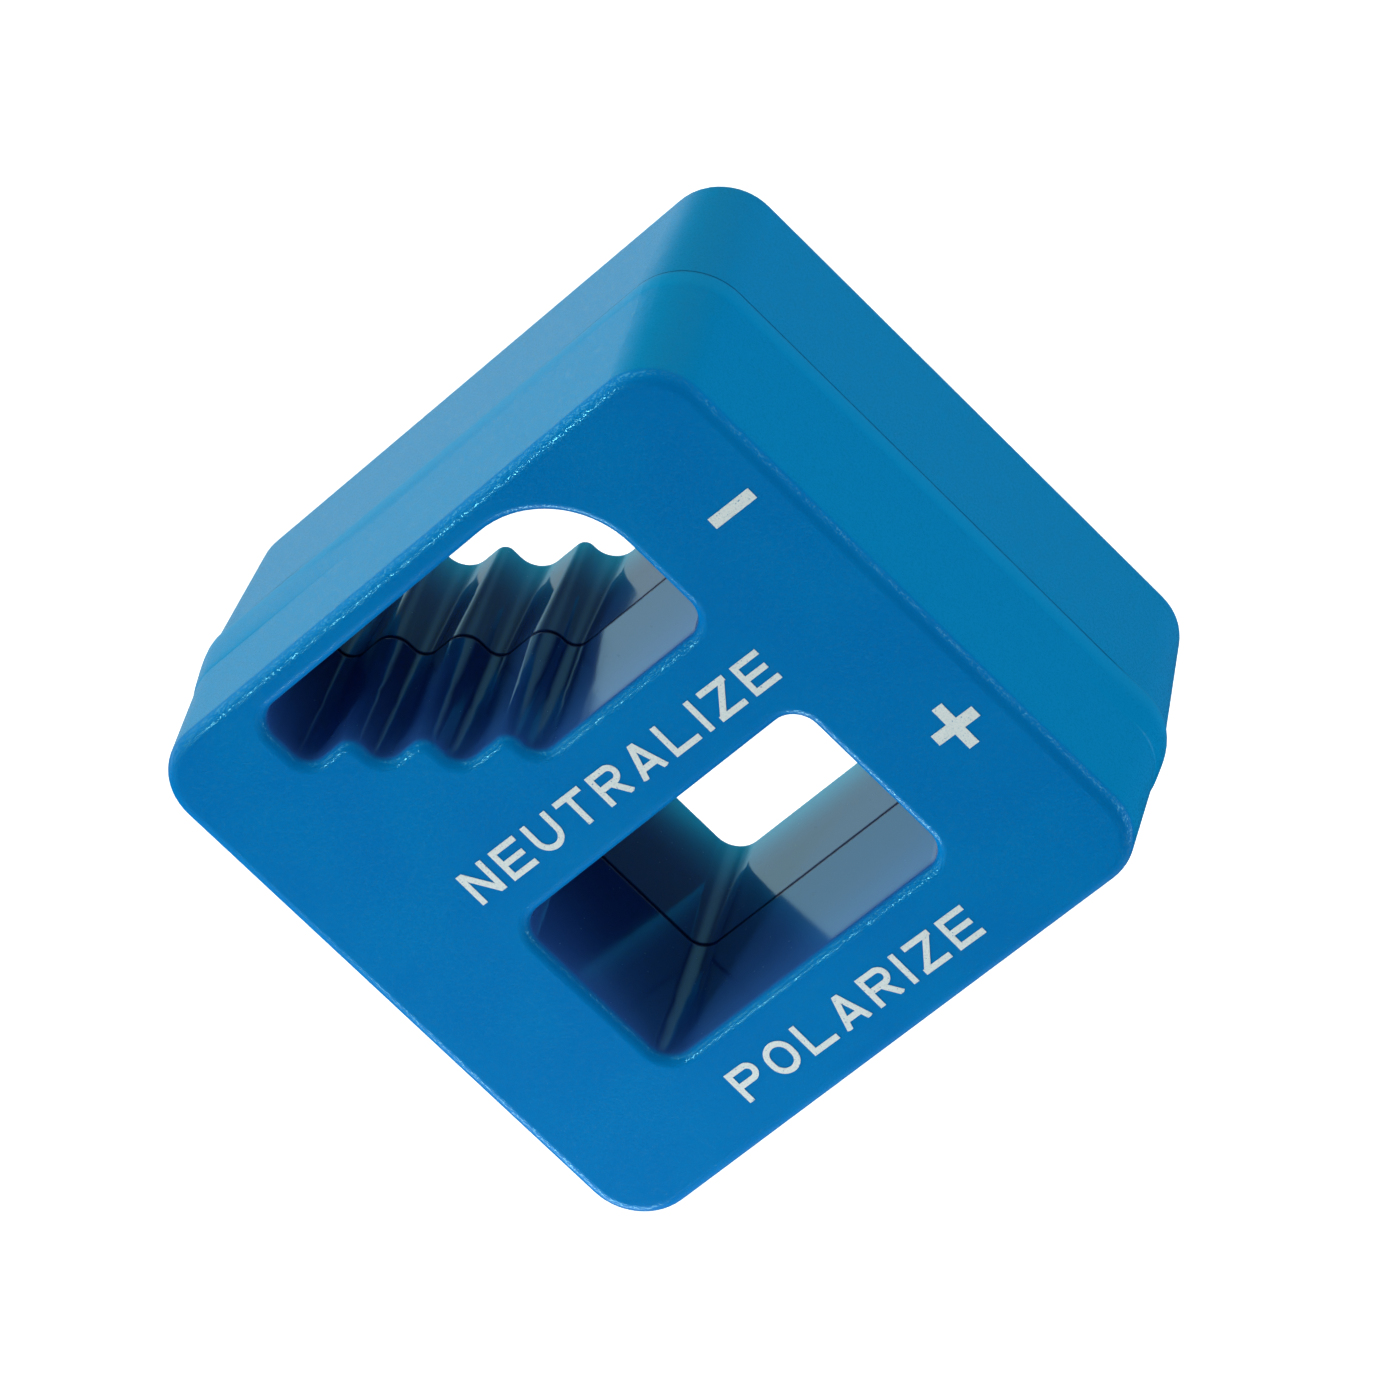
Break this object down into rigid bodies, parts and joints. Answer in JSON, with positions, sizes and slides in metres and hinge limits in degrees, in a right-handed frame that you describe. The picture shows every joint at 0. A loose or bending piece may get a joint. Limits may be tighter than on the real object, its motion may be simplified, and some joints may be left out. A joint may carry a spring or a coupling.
{
  "type": "magnetizer and demagnetizer block",
  "caption": "Hand-held plastic block with a plain opening that magnetizes a screwdriver or tweezers and a stepped opening that demagnetizes it.",
  "frame": {"origin": "under the middle of the block, on the plane of its flat rear face", "axes": "+Z out of the printed front face, +X along the printed legends, +Y from the plain opening to the stepped one"},
  "size_m": [0.052, 0.05, 0.0295],
  "materials": {
    "shell_plastic": "fine spark-eroded satin outside, smoother in the openings",
    "ferrite": "ground and sintered, dull dark grey",
    "foam": "fine closed-cell foam",
    "print": "matt white pad-printed ink with pinholes"
  },
  "bodies": {
    "root": {"front_shell": "shell_plastic", "rear_shell": "shell_plastic", "centre_magnet": "ferrite", "lower_magnet": "ferrite", "centre_magnet_front_pad": "foam", "centre_magnet_rear_pad": "foam", "lower_magnet_front_pad": "foam", "lower_magnet_rear_pad": "foam", "upper_legend": "print", "lower_legend": "print", "minus_sign": "print", "plus_sign": "print"}
  },
  "joints": []
}
